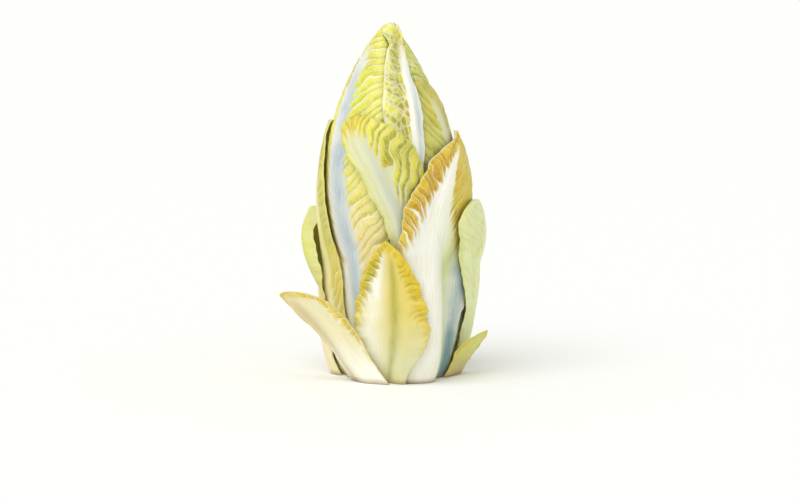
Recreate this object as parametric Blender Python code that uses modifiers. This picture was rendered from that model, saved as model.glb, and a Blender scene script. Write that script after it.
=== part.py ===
"""A Belgian endive, a whole head standing on its cut.

The head is a short solid heart, the stem with its tightly folded bud, and the leaves that wrap it one over
another. The leaves are laid in the order in which the plant carries them, from the inside out. A map of the
head holds how far out the leaves reach so far at each azimuth and height. The next leaf is drawn taut over that
map and then added to it, so no two leaves ever share the same space.

Azimuths are in degrees round the head, 0 at the front (-Y) and 90 on the right (+X). Lengths are in metres.
"""

import math
from typing import NamedTuple

import bmesh
import bpy
import numpy as np

# The outline of the whole head
HEIGHT = 0.149
BELLY_RADIUS = 0.0386
BELLY_HEIGHT = 0.052
CUT_RADIUS = 0.029
FOOT_POWER = 2.8
TIP_POWER = 1.7
TIP_BLUNT = 0.9
CROWN_FOOT = 0.1445
CROWN_CLOSED = 0.975

# How far inside that outline the innermost leaf starts
WRAP_AT_CUT = 0.0155
WRAP_AT_BELLY = 0.0180
WRAP_AT_TIP = 0.0070
LEAST_RADIUS = 0.0006

# The heart
HEART_TOP = 0.118
HEART_CLEARANCE = 0.0006
HEART_RINGS = 18
HEART_SIDES = 28

# The map of the head
MAP_COLUMNS = 240
MAP_ROWS = 156
MAP_ROW_HEIGHT = 0.001
TAUT_REACH = 5
TAUT_SOFTENING = 22
CLOSE_REACH = 2
CLOSE_SOFTENING = 9
HUGGING = 0.85

# What every leaf shares
GAP = 0.0007
BEND_POWER = 3.5
WIDEST_TURN = 105.0
TIP_HALF_WIDTH = 0.0005
SCALLOP = 0.03
LEAN_POWER = 2.2
ROW_LENGTH = 0.0066
FEWEST_ROWS = 8
TIP_ROWS_POWER = 1.4
DEEPER_AT_FOOT = 0.045
TURN_MARGIN = 0.0015
FULL_WAVE = 0.0007

# Colours as linear RGB
PALE = (0.80, 0.80, 0.62, 1.0)
YELLOW = (0.70, 0.62, 0.14, 1.0)
GOLD = (0.66, 0.44, 0.07, 1.0)
GREEN = (0.60, 0.64, 0.22, 1.0)


class Leaf(NamedTuple):
    """The measures of one leaf.

    top is the height of its tip. base is the azimuth of the middle of its foot, sweep its turn round the head on
    the way up, and bend a further turn near the tip. The half widths are at the cut and at the widest place,
    which is at the share widest_at of its height. A larger tip_power keeps it wide for longer, and a smaller
    tip_round makes the tip blunter. rib_foot and rib_tip place the midrib between the margins, -1 to 1.
    depth is how far inside the outline of the head the tip may sink, and the foot sinks deeper. lift raises the
    margins, and wave ruffles them. lean carries the tip away from the head, cup bends the margins of a leaning leaf
    back to it, and twist turns its blade to one side. hood is the least half width, where the leaf caps the head.
    """

    name: str
    colour: tuple
    top: float
    base: float
    sweep: float
    bend: float
    foot_half: float
    widest_half: float
    widest_at: float
    tip_power: float = 2.2
    tip_round: float = 0.8
    rib_foot: float = 0.0
    rib_tip: float = 0.0
    rib: float = 0.0028
    blade: float = 0.0009
    depth: float = 0.020
    lift: float = 0.0010
    wave: float = 0.0007
    waves: float = 7.0
    lean: float = 0.0
    cup: float = 0.0
    twist: float = 0.0
    hood: float = 0.0
    columns: int = 10


LEAVES = (
    Leaf("inner_leaf_right", YELLOW, top=0.124, base=95, sweep=20, bend=0, foot_half=0.010, widest_half=0.022,
         widest_at=0.55, rib=0.0014, lift=0.0002, wave=0.0, columns=8),
    Leaf("inner_leaf_left", YELLOW, top=0.128, base=-110, sweep=10, bend=0, foot_half=0.011, widest_half=0.024,
         widest_at=0.55, rib=0.0018, lift=0.0002, wave=0.0, columns=8),
    Leaf("inner_leaf_front", YELLOW, top=0.132, base=5, sweep=-12, bend=0, foot_half=0.011, widest_half=0.026,
         widest_at=0.55, rib=0.0016, lift=0.0002, wave=0.0, columns=8),
    Leaf("tall_leaf_back", YELLOW, top=0.1462, base=-166, sweep=-4, bend=0, foot_half=0.013, widest_half=0.036,
         widest_at=0.55, tip_round=0.6, rib=0.0026, depth=0.0045, lift=0.0003, wave=0.0005, hood=0.0036),
    Leaf("tall_leaf_back_right", YELLOW, top=0.1470, base=112, sweep=-2, bend=-4, foot_half=0.012,
         widest_half=0.029, widest_at=0.52, tip_power=2.6, tip_round=0.6, rib_foot=0.1, rib=0.0024, depth=0.0022,
         lift=0.0003, wave=0.0004, hood=0.0036, columns=9),
    Leaf("shoulder_leaf_right", YELLOW, top=0.125, base=74, sweep=6, bend=-30, foot_half=0.013,
         widest_half=0.025, widest_at=0.58, tip_power=2.8, tip_round=0.6, rib_foot=0.1, rib=0.0032, depth=0.0036,
         lift=0.0003, wave=0.0004),
    Leaf("tall_leaf_left", YELLOW, top=0.1478, base=-36, sweep=-17, bend=4, foot_half=0.014, widest_half=0.031,
         widest_at=0.50, tip_power=2.0, tip_round=1.0, rib_foot=0.25, rib_tip=-0.25, rib=0.0030,
         depth=-0.0032, lift=0.0005, wave=0.0006, waves=8, hood=0.0028),
    Leaf("tall_leaf_front", YELLOW, top=0.149, base=20, sweep=-8, bend=0, foot_half=0.009, widest_half=0.0096,
         widest_at=0.72, tip_power=1.6, tip_round=0.85, rib_foot=0.5, rib_tip=0.5, rib=0.0024, lift=0.0003,
         wave=0.0004, waves=8, hood=0.0036),
    Leaf("middle_leaf_front", YELLOW, top=0.112, base=24, sweep=0, bend=-56, foot_half=0.009,
         widest_half=0.0160, widest_at=0.85, tip_round=0.6, rib_foot=-0.85, rib_tip=-0.46, rib=0.0028,
         lift=0.0006, wave=0.0007, waves=6),
    Leaf("back_leaf_left", YELLOW, top=0.114, base=-120, sweep=-32, bend=6, foot_half=0.014,
         widest_half=0.027, widest_at=0.52, rib_foot=0.1, rib=0.0028, lift=0.0005, wave=0.0005, columns=9),
    Leaf("side_leaf_left", GREEN, top=0.108, base=-72, sweep=-26, bend=0, foot_half=0.018,
         widest_half=0.0212, widest_at=0.48, tip_round=0.6, rib=0.0046, lift=0.0002, wave=0.0002, waves=6),
    Leaf("back_leaf_right", YELLOW, top=0.104, base=138, sweep=6, bend=4, foot_half=0.014, widest_half=0.029,
         widest_at=0.52, tip_power=2.4, rib_foot=-0.1, rib=0.0028, wave=0.0006, columns=9),
    Leaf("golden_leaf_right", GOLD, top=0.1038, base=42, sweep=0, bend=44, foot_half=0.0170, widest_half=0.0310,
         widest_at=0.62, tip_power=3.0, tip_round=0.9, rib_foot=-0.20, rib_tip=-0.40, rib=0.0038, depth=0.0004,
         lift=0.0003, wave=0.0005, waves=6, twist=0.0016, columns=11),
    Leaf("outer_leaf_left", GREEN, top=0.0700, base=-98, sweep=-18, bend=0, foot_half=0.010, widest_half=0.024,
         widest_at=0.55, tip_round=0.9, rib_foot=0.3, rib_tip=0.4, rib=0.0028, depth=-0.0020, lift=0.0003,
         wave=0.0004, waves=5),
    Leaf("outer_leaf_right", GREEN, top=0.0755, base=108, sweep=-18, bend=-16, foot_half=0.010,
         widest_half=0.020, widest_at=0.85, tip_round=0.7, rib=0.0060, depth=-0.0005, lift=0.0002, wave=0.0003,
         waves=5),
    Leaf("outer_leaf_back", GREEN, top=0.070, base=-176, sweep=-8, bend=6, foot_half=0.013, widest_half=0.024,
         widest_at=0.48, tip_power=2.0, tip_round=0.75, rib=0.0030, lift=0.0012, wave=0.0009, waves=5,
         columns=9),
    Leaf("short_leaf_front", GOLD, top=0.0605, base=-8, sweep=3, bend=0, foot_half=0.010, widest_half=0.0202,
         widest_at=0.36, tip_power=2.0, tip_round=0.75, rib_foot=0.05, rib_tip=0.1, rib=0.0030, lift=0.0010,
         wave=0.0008, waves=6),
    Leaf("splayed_leaf_left", PALE, top=0.038, base=-27.5, sweep=-27, bend=-9, foot_half=0.0128,
         widest_half=0.0128, widest_at=0.45, tip_power=3.0, tip_round=0.5, blade=0.0020, rib=0.0034, lift=0.0,
         wave=0.0004, waves=3, lean=0.0184, cup=0.0034, twist=-0.006, columns=8),
    Leaf("splayed_leaf_right", YELLOW, top=0.0195, base=80, sweep=0, bend=0, foot_half=0.0080,
         widest_half=0.0072, widest_at=0.35, tip_power=2.0, tip_round=0.7, blade=0.0012, rib=0.0012, lift=0.0,
         wave=0.0003, waves=3, lean=0.0076, cup=0.0010, twist=0.003, columns=7),
    Leaf("splayed_leaf_back", PALE, top=0.024, base=150, sweep=8, bend=4, foot_half=0.0085,
         widest_half=0.0078, widest_at=0.35, tip_round=0.7, blade=0.0013, rib=0.0014, lift=0.0, wave=0.0003,
         waves=3, lean=0.007, cup=0.0018, columns=7),
)


def clear_scene():
    """Empty the scene of every object it starts with."""
    for item in list(bpy.data.objects):
        bpy.data.objects.remove(item, do_unlink=True)


def smooth(share):
    """Ease a share from 0 to 1."""
    share = np.clip(share, 0.0, 1.0)
    return share * share * (3.0 - 2.0 * share)


def envelope(height):
    """Radius of the whole head: round from the cut up to the belly, then a long taper to a blunt tip."""
    below = np.clip(1.0 - height / BELLY_HEIGHT, 0.0, 1.0)
    above = np.clip((height - BELLY_HEIGHT) / (HEIGHT - BELLY_HEIGHT), 0.0, 1.0)
    belly = BELLY_RADIUS - (BELLY_RADIUS - CUT_RADIUS) * below ** FOOT_POWER
    return belly * (1.0 - above ** TIP_POWER) ** TIP_BLUNT


def heart_room(height):
    """Radius left for the heart inside all its leaves; below 0 where the leaves alone fill the head."""
    places = (0.0, BELLY_HEIGHT, HEIGHT)
    return envelope(height) - np.interp(height, places, (WRAP_AT_CUT, WRAP_AT_BELLY, WRAP_AT_TIP))


def map_places():
    """Azimuth and height of every cell of the map."""
    azimuth = np.arange(MAP_COLUMNS) * 360.0 / MAP_COLUMNS
    height = np.arange(MAP_ROWS) * MAP_ROW_HEIGHT
    return np.meshgrid(azimuth, height)


def read_map(head, azimuth, height):
    """Value of the map between its cells; it closes on itself round the head."""
    column = (azimuth * MAP_COLUMNS / 360.0) % MAP_COLUMNS
    row = np.clip(height / MAP_ROW_HEIGHT, 0.0, MAP_ROWS - 1.001)
    left = np.floor(column).astype(int) % MAP_COLUMNS
    right = (left + 1) % MAP_COLUMNS
    lower = np.floor(row).astype(int)
    across = column - np.floor(column)
    up = row - lower
    near = head[lower, left] * (1.0 - across) + head[lower, right] * across
    far = head[lower + 1, left] * (1.0 - across) + head[lower + 1, right] * across
    return near * (1.0 - up) + far * up


def spread(values, merge):
    """Merge every cell with its neighbours, round the head and then up and down."""
    values = merge(np.roll(values, 1, axis=1), values, np.roll(values, -1, axis=1))
    tall = np.pad(values, ((1, 1), (0, 0)), mode="edge")
    return merge(tall[:-2], tall[1:-1], tall[2:])


def drawn_over(head, reach, softening):
    """The smooth surface that a leaf takes when it is drawn over the leaves laid so far."""
    height = map_places()[1]
    proud = head - envelope(height)
    for _ in range(reach):
        proud = spread(proud, lambda before, here, after: np.maximum(np.maximum(before, here), after))
    for _ in range(softening):
        proud = spread(proud, lambda before, here, after: 0.25 * before + 0.5 * here + 0.25 * after)
    return np.maximum(proud + envelope(height), head)


def grounds(head):
    """What the next leaf lies on: a taut surface under its middle and a closer one under its margins."""
    return drawn_over(head, TAUT_REACH, TAUT_SOFTENING), drawn_over(head, CLOSE_REACH, CLOSE_SOFTENING)


def half_width(leaf, along):
    """Half the width of a leaf, from its foot to its rounded tip."""
    opening = smooth(along / leaf.widest_at)
    body = leaf.foot_half + (leaf.widest_half - leaf.foot_half) * opening
    closing = np.clip((along - leaf.widest_at) / (1.0 - leaf.widest_at), 0.0, 1.0)
    width = body * (1.0 - closing ** leaf.tip_power) ** leaf.tip_round
    return np.maximum(width, max(leaf.hood, TIP_HALF_WIDTH))


def turns(leaf, along):
    """Azimuth of the middle, of the midrib, and of half the width."""
    middle = leaf.base + leaf.sweep * along * (2.0 - along) + leaf.bend * along ** BEND_POWER
    radius = np.maximum(envelope(leaf.top * along) + TURN_MARGIN, 4.0 * LEAST_RADIUS)
    half = np.minimum(np.degrees(half_width(leaf, along) / radius), WIDEST_TURN)
    scallop = SCALLOP * leaf.wave / FULL_WAVE * np.sin(2.0 * math.pi * leaf.waves * along)
    half = half * (1.0 + scallop * smooth(along * 3.0))
    rib = leaf.rib_foot + (leaf.rib_tip - leaf.rib_foot) * along
    return middle, middle + half * rib, half


def place(leaf, across, along):
    """Azimuth of a point of the leaf; across is -1 at the left margin, 0 on the midrib and 1 at the right."""
    middle, rib, half = turns(leaf, along)
    return np.where(across < 0.0, rib + across * (rib - middle + half), rib + across * (middle + half - rib))


def share_across(leaf, azimuth, along):
    """The share across at an azimuth: the inverse of place, past -1 and 1 beyond the margins."""
    middle, rib, half = turns(leaf, along)
    away = (azimuth - rib + 180.0) % 360.0 - 180.0
    return np.where(away < 0.0, away / (rib - middle + half), away / (middle + half - rib))


def inner_radius(leaf, ground, across, along, azimuth):
    """How far out the inner face lies: on the taut ground, and towards its margins nearly on the close one."""
    height = leaf.top * along
    margin = np.abs(across) ** 4 * smooth(along * 4.0)
    side = np.where(across < 0.0, 0.0, 1.9)
    ripple = 0.5 + 0.5 * np.sin(2.0 * math.pi * leaf.waves * along * 1.3 + side + leaf.base)
    ruffled = margin * (leaf.lift + 2.0 * leaf.wave * ripple)
    spoon = (leaf.twist * across - leaf.cup * across ** 2) * half_width(leaf, along) / leaf.widest_half
    standing = leaf.lean * along ** LEAN_POWER + spoon * along
    outline = envelope(height) - leaf.depth - DEEPER_AT_FOOT * (1.0 - along) ** 2
    taut, close = ground
    lowest = np.maximum(np.maximum(read_map(taut, azimuth, height) + GAP, outline), LEAST_RADIUS)
    pressed = np.maximum(read_map(close, azimuth, height) + GAP, LEAST_RADIUS)
    hugging = 0.0 if leaf.lean > 0.0 else HUGGING * np.abs(across) ** 6 * smooth(along * 4.0)
    return lowest + hugging * np.minimum(pressed - lowest, 0.0) + ruffled + np.maximum(standing, 0.0)


def thickness(leaf, across, along):
    """A thin blade with a midrib that fills the foot of the leaf and narrows on its way up."""
    share = 0.22 + 0.50 * (1.0 - along) ** 2
    crest = np.exp(-(across / share) ** 2)
    return leaf.blade * (1.0 - 0.25 * along ** 4) + leaf.rib * (1.0 - 0.85 * along) * crest


def crown(height):
    """How far the very tip is drawn in: a quarter of an ellipse, from 1 at its foot."""
    climbed = np.clip((height - CROWN_FOOT) / (HEIGHT - CROWN_FOOT), 0.0, 1.0)
    return np.sqrt(1.0 - CROWN_CLOSED * climbed ** 2)


def lay_leaf(leaf, head):
    """Add a leaf to the map of the head."""
    azimuth, height = map_places()
    along = height / leaf.top
    across = share_across(leaf, azimuth, np.clip(along, 0.0, 1.0))
    covered = (along <= 1.02) & (np.abs(across) <= 1.08)
    along = np.clip(along, 0.0, 1.0)
    across = np.clip(across, -1.0, 1.0)
    outer = inner_radius(leaf, grounds(head), across, along, azimuth) + thickness(leaf, across, along)
    return np.where(covered, np.maximum(head, outer), head)


def make_material(name, colour):
    """A material of one colour."""
    material = bpy.data.materials.new(name)
    material.use_nodes = True
    surface = material.node_tree.nodes["Principled BSDF"]
    surface.inputs["Base Color"].default_value = colour
    surface.inputs["Roughness"].default_value = 0.5
    return material


def add_object(mesh, name, colour, collection):
    """Put a mesh into the scene as a named piece with its own material."""
    mesh.materials.append(make_material(name.replace("_", " ") + " flesh", colour))
    piece = bpy.data.objects.new(name, mesh)
    collection.objects.link(piece)
    return piece


def make_slab(columns, rows):
    """A closed slab: both faces split alike into triangles, its inner face at z 0 and its outer face at z 1."""
    slab = bmesh.new()
    bmesh.ops.create_grid(slab, x_segments=columns, y_segments=rows, size=1.0)
    bmesh.ops.triangulate(slab, faces=slab.faces[:])
    raised = bmesh.ops.extrude_face_region(slab, geom=slab.faces[:], use_keep_orig=True)
    outer = [item for item in raised["geom"] if isinstance(item, bmesh.types.BMVert)]
    bmesh.ops.translate(slab, verts=outer, vec=(0.0, 0.0, 1.0))
    bmesh.ops.recalc_face_normals(slab, faces=slab.faces[:])
    bmesh.ops.triangulate(slab, faces=slab.faces[:])
    mesh = bpy.data.meshes.new("slab")
    slab.to_mesh(mesh)
    slab.free()
    return mesh


def make_leaf(leaf, head, collection):
    """Bend a slab into a leaf that lies on the map."""
    rows = max(FEWEST_ROWS, round(leaf.top / ROW_LENGTH))
    mesh = make_slab(leaf.columns, rows)
    flat = np.empty(len(mesh.vertices) * 3)
    mesh.vertices.foreach_get("co", flat)
    flat = flat.reshape(-1, 3)
    across = flat[:, 0]
    along = 1.0 - np.clip(0.5 - 0.5 * flat[:, 1], 0.0, 1.0) ** TIP_ROWS_POWER
    azimuth = place(leaf, across, along)
    radius = inner_radius(leaf, grounds(head), across, along, azimuth) * crown(leaf.top * along)
    radius = radius + flat[:, 2] * thickness(leaf, across, along)
    turn = np.radians(azimuth)
    bent = np.column_stack((radius * np.sin(turn), -radius * np.cos(turn), leaf.top * along))
    mesh.vertices.foreach_set("co", bent.ravel())
    mesh.update()
    return add_object(mesh, leaf.name, leaf.colour, collection)


def make_heart(collection):
    """Turn the heart from its profile: a flat cut, a round belly and a point."""
    heights = [HEART_TOP * (1.0 - (1.0 - step / HEART_RINGS) ** 1.3) for step in range(HEART_RINGS)]
    profile = bmesh.new()
    corners = [profile.verts.new((0.0, 0.0, 0.0))]
    for height in heights:
        closing = (1.0 - (height / HEART_TOP) ** 3) ** 0.7
        radius = max(float(heart_room(height)) - HEART_CLEARANCE, LEAST_RADIUS) * closing
        corners.append(profile.verts.new((radius, 0.0, height)))
    corners.append(profile.verts.new((0.0, 0.0, HEART_TOP)))
    for lower, upper in zip(corners, corners[1:]):
        profile.edges.new((lower, upper))
    mesh = bpy.data.meshes.new("heart")
    profile.to_mesh(mesh)
    profile.free()
    heart = add_object(mesh, "heart", PALE, collection)
    turned = heart.modifiers.new("turned", "SCREW")
    turned.axis = "Z"
    turned.steps = HEART_SIDES
    turned.render_steps = HEART_SIDES
    turned.use_merge_vertices = True
    turned.merge_threshold = 0.00005
    turned.use_normal_calculate = True
    return heart


def build():
    """Build the whole head."""
    clear_scene()
    collection = bpy.data.collections.new("belgian endive")
    bpy.context.scene.collection.children.link(collection)
    make_heart(collection)
    head = heart_room(map_places()[1])
    for leaf in LEAVES:
        make_leaf(leaf, head, collection)
        head = lay_leaf(leaf, head)


build()
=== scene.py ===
# %% [markdown]
# # A head of Belgian endive
#
# Belgian endive is a shoot of chicory, grown in the dark. Its leaves never open. They wrap each other
# tightly, so their midribs stay white and fleshy, and only the thin blades beside them turn yellow, with
# gold and green where a little light reached them. Here the cut head of the solid model gets its real
# surface: puckered blades, veins, crinkled margins and the colours of forced leaves.

# %% Load the solid model
import math
from types import SimpleNamespace
from typing import NamedTuple

import bpy
import numpy as np
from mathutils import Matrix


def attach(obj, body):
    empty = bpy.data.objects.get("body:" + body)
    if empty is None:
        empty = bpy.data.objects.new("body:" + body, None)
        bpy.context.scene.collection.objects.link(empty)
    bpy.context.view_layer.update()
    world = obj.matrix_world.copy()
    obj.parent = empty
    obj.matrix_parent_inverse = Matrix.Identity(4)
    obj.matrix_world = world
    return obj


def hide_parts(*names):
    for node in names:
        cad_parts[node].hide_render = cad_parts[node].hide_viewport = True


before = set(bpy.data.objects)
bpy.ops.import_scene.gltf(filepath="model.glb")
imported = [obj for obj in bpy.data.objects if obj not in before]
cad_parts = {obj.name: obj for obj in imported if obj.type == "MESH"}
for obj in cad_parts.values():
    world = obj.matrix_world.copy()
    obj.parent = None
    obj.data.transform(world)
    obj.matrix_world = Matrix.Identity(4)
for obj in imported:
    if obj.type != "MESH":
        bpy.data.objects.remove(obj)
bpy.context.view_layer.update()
print("solid pieces:", len(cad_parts))

# %% [markdown]
# ## The outline of the head
#
# Every leaf takes its place from one outline, a surface of revolution: rounded at the cut, widest low down,
# and then a long taper. Angles run round the head from 0 at the front, with 90 degrees on the right.

# %% The outline
HEIGHT = 0.149
BELLY_RADIUS = 0.0386
BELLY_HEIGHT = 0.052
CUT_RADIUS = 0.029
LEAST_RADIUS = 0.0006
WRAP_AT_CUT = 0.0155
WRAP_AT_BELLY = 0.0180
WRAP_AT_TIP = 0.0070


def smooth(share):
    """Ease from 0 to 1: three times the square less twice the cube."""
    share = np.clip(share, 0.0, 1.0)
    return share * share * (3.0 - 2.0 * share)


def envelope(height):
    """Radius of the head: it grows with the power 2.8 up to the belly and closes as a blunt cone above."""
    below = np.clip(1.0 - height / BELLY_HEIGHT, 0.0, 1.0)
    above = np.clip((height - BELLY_HEIGHT) / (HEIGHT - BELLY_HEIGHT), 0.0, 1.0)
    return (BELLY_RADIUS - (BELLY_RADIUS - CUT_RADIUS) * below ** 2.8) * (1.0 - above ** 1.7) ** 0.9


def heart_room(height):
    """Radius left inside the leaves: the outline less the wrapping, which runs straight between heights."""
    places = (0.0, BELLY_HEIGHT, HEIGHT)
    return envelope(height) - np.interp(height, places, (WRAP_AT_CUT, WRAP_AT_BELLY, WRAP_AT_TIP))


print("radius at the belly in mm:", round(float(envelope(BELLY_HEIGHT)) * 1000, 1))

# %% [markdown]
# ## The leaves
#
# A leaf of endive is a spoon: a foot that hugs the stem, a widest place, and a round tip. Each one here is
# a line of numbers. Its middle climbs from one azimuth to another, it is so wide at the foot and at the
# widest place, and its midrib may run off the middle, as it does on the leaf that slants across the front.

# %% The shape of one leaf
BEND_POWER = 3.5
WIDEST_TURN = 105.0
LEAST_HALF = 0.0004
OUTER_FACE = 0.0015
USUAL_WAVE = 0.0007


class Leaf(NamedTuple):
    """The measures of one leaf, in metres and degrees."""

    name: str
    top: float
    base: float
    sweep: float
    bend: float
    foot_half: float
    widest_half: float
    widest_at: float
    tip_power: float = 2.2
    tip_round: float = 0.8
    rib_foot: float = 0.0
    rib_tip: float = 0.0
    rib: float = 0.0028
    blade: float = 0.0009
    depth: float = 0.020
    lift: float = 0.0010
    wave: float = USUAL_WAVE
    waves: float = 7.0
    lean: float = 0.0
    cup: float = 0.0
    twist: float = 0.0
    hood: float = 0.0


LEAVES = (
    Leaf("inner_leaf_right", 0.124, 95, 20, 0, 0.010, 0.022, 0.55, rib=0.0014, lift=0.0002, wave=0.0),
    Leaf("inner_leaf_left", 0.128, -110, 10, 0, 0.011, 0.024, 0.55, rib=0.0018, lift=0.0002, wave=0.0),
    Leaf("inner_leaf_front", 0.132, 5, -12, 0, 0.011, 0.026, 0.55, rib=0.0016, lift=0.0002, wave=0.0),
    Leaf("tall_leaf_back", 0.1462, -166, -4, 0, 0.013, 0.036, 0.55, tip_round=0.6, rib=0.0026,
         depth=0.0045, lift=0.0003, wave=0.0005, hood=0.0036),
    Leaf("tall_leaf_back_right", 0.1470, 112, -2, -4, 0.012, 0.029, 0.52, tip_power=2.6, tip_round=0.6,
         rib_foot=0.1, rib=0.0024, depth=0.0022, lift=0.0003, wave=0.0004, hood=0.0036),
    Leaf("shoulder_leaf_right", 0.125, 74, 6, -30, 0.013, 0.025, 0.58, tip_power=2.8, tip_round=0.6,
         rib_foot=0.1, rib=0.0032, depth=0.0036, lift=0.0003, wave=0.0004),
    Leaf("tall_leaf_left", 0.1478, -36, -17, 4, 0.014, 0.031, 0.50, tip_power=2.0, tip_round=1.0,
         rib_foot=0.25, rib_tip=-0.25, rib=0.0030, depth=-0.0032, lift=0.0005, wave=0.0006, waves=8,
         hood=0.0028),
    Leaf("tall_leaf_front", 0.149, 20, -8, 0, 0.009, 0.0096, 0.72, tip_power=1.6, tip_round=0.85,
         rib_foot=0.5, rib_tip=0.5, rib=0.0024, lift=0.0003, wave=0.0004, waves=8, hood=0.0036),
    Leaf("middle_leaf_front", 0.112, 24, 0, -56, 0.009, 0.0160, 0.85, tip_round=0.6, rib_foot=-0.85,
         rib_tip=-0.46, rib=0.0028, lift=0.0006, wave=0.0007, waves=6),
    Leaf("back_leaf_left", 0.114, -120, -32, 6, 0.014, 0.027, 0.52, rib_foot=0.1, lift=0.0005, wave=0.0005),
    Leaf("side_leaf_left", 0.108, -72, -26, 0, 0.018, 0.0212, 0.48, tip_round=0.6, rib=0.0046, lift=0.0002,
         wave=0.0002, waves=6),
    Leaf("back_leaf_right", 0.104, 138, 6, 4, 0.014, 0.029, 0.52, tip_power=2.4, rib_foot=-0.1, wave=0.0006),
    Leaf("golden_leaf_right", 0.1038, 42, 0, 44, 0.0170, 0.031, 0.62, tip_power=3.0, tip_round=0.9,
         rib_foot=-0.20, rib_tip=-0.40, rib=0.0038, depth=0.0004, lift=0.0003, wave=0.0005, waves=6,
         twist=0.0016),
    Leaf("outer_leaf_left", 0.0700, -98, -18, 0, 0.010, 0.024, 0.55, tip_round=0.9, rib_foot=0.3,
         rib_tip=0.4, rib=0.0028, depth=-0.0020, lift=0.0003, wave=0.0004, waves=5),
    Leaf("outer_leaf_right", 0.0755, 108, -18, -16, 0.010, 0.020, 0.85, tip_round=0.7, rib=0.0060,
         depth=-0.0005, lift=0.0002, wave=0.0003, waves=5),
    Leaf("outer_leaf_back", 0.070, -176, -8, 6, 0.013, 0.024, 0.48, tip_power=2.0, tip_round=0.75,
         rib=0.0030, lift=0.0012, wave=0.0009, waves=5),
    Leaf("short_leaf_front", 0.0605, -8, 3, 0, 0.010, 0.0202, 0.36, tip_power=2.0, tip_round=0.75,
         rib_foot=0.05, rib_tip=0.1, rib=0.0030, lift=0.0010, wave=0.0008, waves=6),
    Leaf("splayed_leaf_left", 0.038, -27.5, -27, -9, 0.0128, 0.0128, 0.45, tip_power=3.0, tip_round=0.5,
         blade=0.0020, rib=0.0034, lift=0.0, wave=0.0004, waves=3, lean=0.0184, cup=0.0034, twist=-0.006),
    Leaf("splayed_leaf_right", 0.0195, 80, 0, 0, 0.0080, 0.0072, 0.35, tip_power=2.0, tip_round=0.7,
         blade=0.0012, rib=0.0012, lift=0.0, wave=0.0003, waves=3, lean=0.0076, cup=0.0010, twist=0.003),
    Leaf("splayed_leaf_back", 0.024, 150, 8, 4, 0.0085, 0.0078, 0.35, tip_round=0.7, blade=0.0013,
         rib=0.0014, lift=0.0, wave=0.0003, waves=3, lean=0.007, cup=0.0018),
)


def half_width(leaf, along):
    """Half the width: eased from the foot to the widest place, then closed by a power of a power."""
    body = leaf.foot_half + (leaf.widest_half - leaf.foot_half) * smooth(along / leaf.widest_at)
    closing = np.clip((along - leaf.widest_at) / (1.0 - leaf.widest_at), 0.0, 1.0)
    return np.maximum(body * (1.0 - closing ** leaf.tip_power) ** leaf.tip_round, max(leaf.hood, LEAST_HALF))


def rib_place(leaf, along):
    """Where the midrib runs between the margins, -1 to 1: straight from its foot to its tip."""
    return leaf.rib_foot + (leaf.rib_tip - leaf.rib_foot) * along


def turns(leaf, along):
    """Azimuths of the middle and the midrib, and half the width as an angle, cut in small scallops."""
    middle = leaf.base + leaf.sweep * along * (2.0 - along) + leaf.bend * along ** BEND_POWER
    radius = np.maximum(envelope(leaf.top * along) + OUTER_FACE, 4.0 * LEAST_RADIUS)
    half = np.minimum(np.degrees(half_width(leaf, along) / radius), WIDEST_TURN)
    beat = 2.0 * math.pi * leaf.waves * along
    scallop = 0.026 * np.sin(beat) + 0.014 * np.sin(2.7 * beat + leaf.base) + 0.007 * np.sin(6.1 * beat)
    half = half * (1.0 + scallop * smooth(along * 3.0) * leaf.wave / USUAL_WAVE)
    return middle, middle + half * rib_place(leaf, along), half


print("leaves:", len(LEAVES))

# %% [markdown]
# ## The dress of the leaves
#
# The photograph shows four kinds of leaf. Tall ones have a net of veins with yellow pockets between them,
# the golden ones are burnt orange along the margin, the outer ones are plain pale green, and the small ones
# at the foot are thick and almost white. So each leaf also has its own dress: how wide its white midrib is
# on either side, how far apart and how steep its veins are, how much the blade puckers between them, its
# colours, and a band of painted shade on the midrib. A midrib or blade has two colours, one for the tip and
# one for the foot, because light reached only the top.


# %% The paints
def paint(red, green, blue):
    """A colour mixed from 0 to 255 as on a screen, made light by the power 2.4 of the shifted value."""
    shares = np.array((red, green, blue)) / 255.0
    light = np.where(shares > 0.04045, ((shares + 0.055) / 1.055) ** 2.4, shares / 12.92)
    return tuple(float(value) for value in light) + (1.0,)


WHITE = paint(250, 249, 236)
CREAM = paint(249, 244, 204)
BUTTER = paint(242, 234, 162)
LEMON = paint(236, 230, 98)
LIME = paint(208, 212, 72)
OLIVE = paint(172, 168, 34)
MOSS = paint(158, 156, 48)
PEACH = paint(238, 212, 152)
STRAW = paint(228, 210, 112)
GOLD = paint(228, 202, 44)
OCHRE = paint(204, 174, 12)
AMBER = paint(196, 146, 0)
BRONZE = paint(184, 150, 30)
PALE_GREEN = paint(232, 238, 182)
LEAF_GREEN = paint(208, 214, 118)
SAGE = paint(222, 224, 176)
MINT = paint(222, 230, 164)
# BLUE_GREY and TEAL serve only as painted shade on the midribs; MOSS and SAND also paint shade on some
# leaves.
BLUE_GREY = paint(158, 178, 190)
TEAL = paint(116, 150, 154)
SAND = paint(206, 186, 128)
REED = paint(214, 214, 122)
IVORY = paint(238, 231, 192)
STONE = paint(222, 222, 176)
CUT_BROWN = paint(176, 142, 92)
print("lightest paint:", [round(value, 2) for value in CREAM[:3]])


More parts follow.
